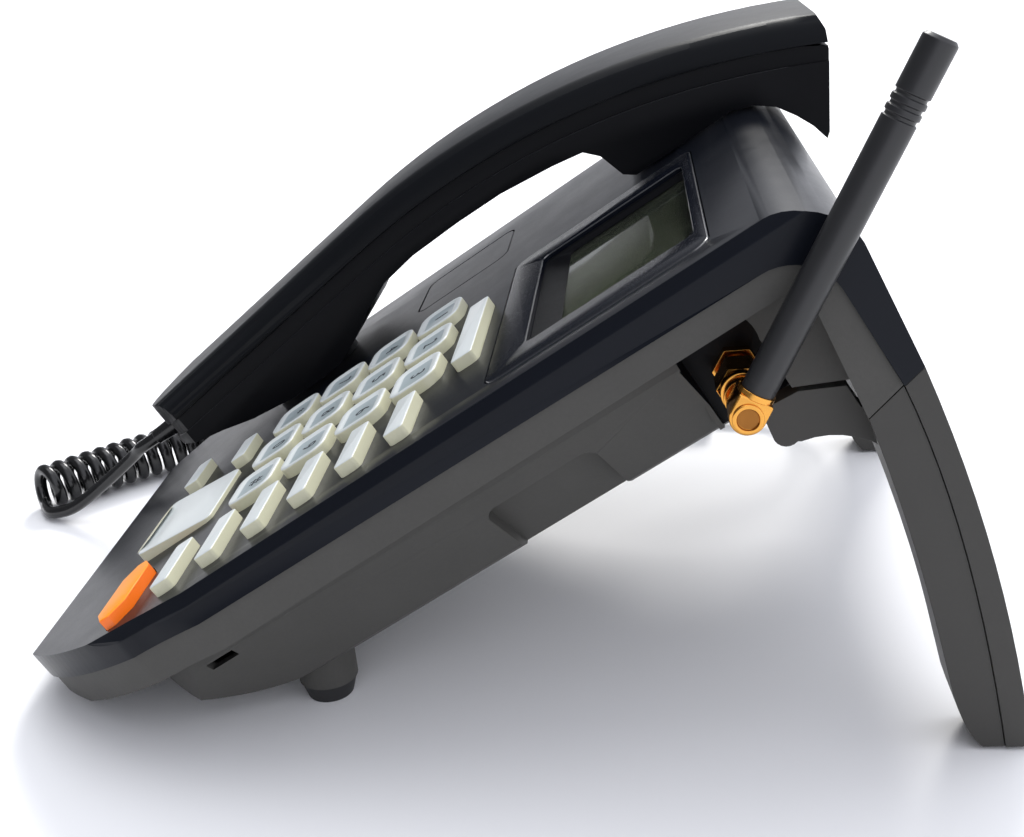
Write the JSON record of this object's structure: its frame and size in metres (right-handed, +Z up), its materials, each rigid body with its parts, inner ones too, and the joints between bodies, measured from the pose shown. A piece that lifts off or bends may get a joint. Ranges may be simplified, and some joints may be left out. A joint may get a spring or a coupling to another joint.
{
  "type": "desk telephone",
  "caption": "Desk telephone with a tilted key deck, display, corded handset on a cradle, rear stand and a swivelling right-angle whip antenna.",
  "frame": {"origin": "on the table under the middle of the phone without its cord", "axes": "+X to the right of the phone, +Y to its rear, +Z up"},
  "size_m": [0.1884, 0.2561, 0.1361],
  "materials": {
    "charcoal_plastic": "satin",
    "black_plastic": "satin",
    "display_lens": "gloss",
    "display_panel": "satin",
    "silicone": "matte",
    "board": "satin",
    "steel": "satin",
    "capsule": "matte",
    "battery": "satin",
    "gold": "polished",
    "rubber": "satin",
    "key_plastic": "satin",
    "call_key": "satin"
  },
  "bodies": {
    "base": {"top_cover": "charcoal_plastic", "bottom_case": "charcoal_plastic", "display_faceplate": "black_plastic", "display_lens": "display_lens", "lcd_module": "display_panel", "index_plate": "charcoal_plastic", "keypad_mat": "silicone", "main_board": "board", "sim_holder": "steel", "loudspeaker": "capsule", "battery_pack": "battery", "antenna_jack": "gold", "jack_nut": "gold", "handset_jack": "black_plastic", "power_socket": "black_plastic", "hook_switch": "black_plastic", "front_feet": "rubber", "case_screws": "steel", "stand_rear_cover": "black_plastic", "stand_front_shell": "charcoal_plastic", "stand_pads": "rubber", "stand_screws": "steel", "curly_cord": "rubber", "cord_plug": "black_plastic"},
    "handset": {"handset_back": "charcoal_plastic", "handset_face": "black_plastic", "receiver_capsule": "capsule", "microphone_capsule": "steel", "handset_weight": "steel", "handset_screws": "steel", "cord_boot": "rubber"},
    "hook": {"hook_plunger": "black_plastic"},
    "battery_cover": {"battery_door": "charcoal_plastic"},
    "coupling_nut": {"antenna_nut": "gold"},
    "antenna": {"antenna_elbow": "gold", "antenna_whip": "rubber"},
    "key_1_cap": {"key_1": "key_plastic"},
    "key_2_cap": {"key_2": "key_plastic"},
    "key_3_cap": {"key_3": "key_plastic"},
    "key_4_cap": {"key_4": "key_plastic"},
    "key_5_cap": {"key_5": "key_plastic"},
    "key_6_cap": {"key_6": "key_plastic"},
    "key_7_cap": {"key_7": "key_plastic"},
    "key_8_cap": {"key_8": "key_plastic"},
    "key_9_cap": {"key_9": "key_plastic"},
    "key_star_cap": {"key_star": "key_plastic"},
    "key_0_cap": {"key_0": "key_plastic"},
    "key_hash_cap": {"key_hash": "key_plastic"},
    "bar_key_1_cap": {"bar_key_1": "key_plastic"},
    "bar_key_2_cap": {"bar_key_2": "key_plastic"},
    "bar_key_3_cap": {"bar_key_3": "key_plastic"},
    "bar_key_4_cap": {"bar_key_4": "key_plastic"},
    "bar_key_5_cap": {"bar_key_5": "key_plastic"},
    "bar_key_6_cap": {"bar_key_6": "key_plastic"},
    "top_bar_key_cap": {"top_bar_key": "key_plastic"},
    "call_key_cap": {"call_key": "call_key"},
    "wedge_key_cap": {"wedge_key": "key_plastic"},
    "left_bar_key_1_cap": {"left_bar_key_1": "key_plastic"},
    "left_bar_key_2_cap": {"left_bar_key_2": "key_plastic"}
  },
  "joints": [
    {"name": "handset_lift", "type": "slide", "parent": "base", "child": "handset", "axis": [0, -0.5, 0.866], "range_m": [0, 0.06]},
    {"name": "hook_rise", "type": "slide", "parent": "base", "child": "hook", "axis": [0, -0.5, 0.866], "range_m": [0, 0.003]},
    {"name": "battery_door_slide", "type": "slide", "parent": "base", "child": "battery_cover", "axis": [0, -0.866, -0.5], "range_m": [0, 0.015]},
    {"name": "coupling_nut_turn", "type": "hinge", "parent": "base", "child": "coupling_nut", "pos_m": [0.0649, 0.05418, 0.07476], "axis": [1, 0, 0], "continuous": true},
    {"name": "antenna_swivel", "type": "hinge", "parent": "base", "child": "antenna", "pos_m": [0.0789, 0.05418, 0.07476], "axis": [1, 0, 0], "continuous": true},
    {"name": "key_1_press", "type": "slide", "parent": "base", "child": "key_1_cap", "axis": [0, 0.5, -0.866], "range_m": [0, 0.001], "stiffness_N_per_m": 500, "springref_m": -0.0006},
    {"name": "key_2_press", "type": "slide", "parent": "base", "child": "key_2_cap", "axis": [0, 0.5, -0.866], "range_m": [0, 0.001], "stiffness_N_per_m": 500, "springref_m": -0.0006},
    {"name": "key_3_press", "type": "slide", "parent": "base", "child": "key_3_cap", "axis": [0, 0.5, -0.866], "range_m": [0, 0.001], "stiffness_N_per_m": 500, "springref_m": -0.0006},
    {"name": "key_4_press", "type": "slide", "parent": "base", "child": "key_4_cap", "axis": [0, 0.5, -0.866], "range_m": [0, 0.001], "stiffness_N_per_m": 500, "springref_m": -0.0006},
    {"name": "key_5_press", "type": "slide", "parent": "base", "child": "key_5_cap", "axis": [0, 0.5, -0.866], "range_m": [0, 0.001], "stiffness_N_per_m": 500, "springref_m": -0.0006},
    {"name": "key_6_press", "type": "slide", "parent": "base", "child": "key_6_cap", "axis": [0, 0.5, -0.866], "range_m": [0, 0.001], "stiffness_N_per_m": 500, "springref_m": -0.0006},
    {"name": "key_7_press", "type": "slide", "parent": "base", "child": "key_7_cap", "axis": [0, 0.5, -0.866], "range_m": [0, 0.001], "stiffness_N_per_m": 500, "springref_m": -0.0006},
    {"name": "key_8_press", "type": "slide", "parent": "base", "child": "key_8_cap", "axis": [0, 0.5, -0.866], "range_m": [0, 0.001], "stiffness_N_per_m": 500, "springref_m": -0.0006},
    {"name": "key_9_press", "type": "slide", "parent": "base", "child": "key_9_cap", "axis": [0, 0.5, -0.866], "range_m": [0, 0.001], "stiffness_N_per_m": 500, "springref_m": -0.0006},
    {"name": "key_star_press", "type": "slide", "parent": "base", "child": "key_star_cap", "axis": [0, 0.5, -0.866], "range_m": [0, 0.001], "stiffness_N_per_m": 500, "springref_m": -0.0006},
    {"name": "key_0_press", "type": "slide", "parent": "base", "child": "key_0_cap", "axis": [0, 0.5, -0.866], "range_m": [0, 0.001], "stiffness_N_per_m": 500, "springref_m": -0.0006},
    {"name": "key_hash_press", "type": "slide", "parent": "base", "child": "key_hash_cap", "axis": [0, 0.5, -0.866], "range_m": [0, 0.001], "stiffness_N_per_m": 500, "springref_m": -0.0006},
    {"name": "bar_key_1_press", "type": "slide", "parent": "base", "child": "bar_key_1_cap", "axis": [0, 0.5, -0.866], "range_m": [0, 0.001], "stiffness_N_per_m": 500, "springref_m": -0.0006},
    {"name": "bar_key_2_press", "type": "slide", "parent": "base", "child": "bar_key_2_cap", "axis": [0, 0.5, -0.866], "range_m": [0, 0.001], "stiffness_N_per_m": 500, "springref_m": -0.0006},
    {"name": "bar_key_3_press", "type": "slide", "parent": "base", "child": "bar_key_3_cap", "axis": [0, 0.5, -0.866], "range_m": [0, 0.001], "stiffness_N_per_m": 500, "springref_m": -0.0006},
    {"name": "bar_key_4_press", "type": "slide", "parent": "base", "child": "bar_key_4_cap", "axis": [0, 0.5, -0.866], "range_m": [0, 0.001], "stiffness_N_per_m": 500, "springref_m": -0.0006},
    {"name": "bar_key_5_press", "type": "slide", "parent": "base", "child": "bar_key_5_cap", "axis": [0, 0.5, -0.866], "range_m": [0, 0.001], "stiffness_N_per_m": 500, "springref_m": -0.0006},
    {"name": "bar_key_6_press", "type": "slide", "parent": "base", "child": "bar_key_6_cap", "axis": [0, 0.5, -0.866], "range_m": [0, 0.001], "stiffness_N_per_m": 500, "springref_m": -0.0006},
    {"name": "top_bar_key_press", "type": "slide", "parent": "base", "child": "top_bar_key_cap", "axis": [0, 0.5, -0.866], "range_m": [0, 0.001], "stiffness_N_per_m": 500, "springref_m": -0.0006},
    {"name": "call_key_press", "type": "slide", "parent": "base", "child": "call_key_cap", "axis": [0, 0.5, -0.866], "range_m": [0, 0.001], "stiffness_N_per_m": 500, "springref_m": -0.0006},
    {"name": "wedge_key_press", "type": "slide", "parent": "base", "child": "wedge_key_cap", "axis": [0, 0.5, -0.866], "range_m": [0, 0.001], "stiffness_N_per_m": 500, "springref_m": -0.0006},
    {"name": "left_bar_key_1_press", "type": "slide", "parent": "base", "child": "left_bar_key_1_cap", "axis": [0, 0.5, -0.866], "range_m": [0, 0.001], "stiffness_N_per_m": 500, "springref_m": -0.0006},
    {"name": "left_bar_key_2_press", "type": "slide", "parent": "base", "child": "left_bar_key_2_cap", "axis": [0, 0.5, -0.866], "range_m": [0, 0.001], "stiffness_N_per_m": 500, "springref_m": -0.0006}
  ],
  "couplings": [
    {"joint": "hook_rise", "follows": "handset_lift", "ratio": 0.05}
  ]
}
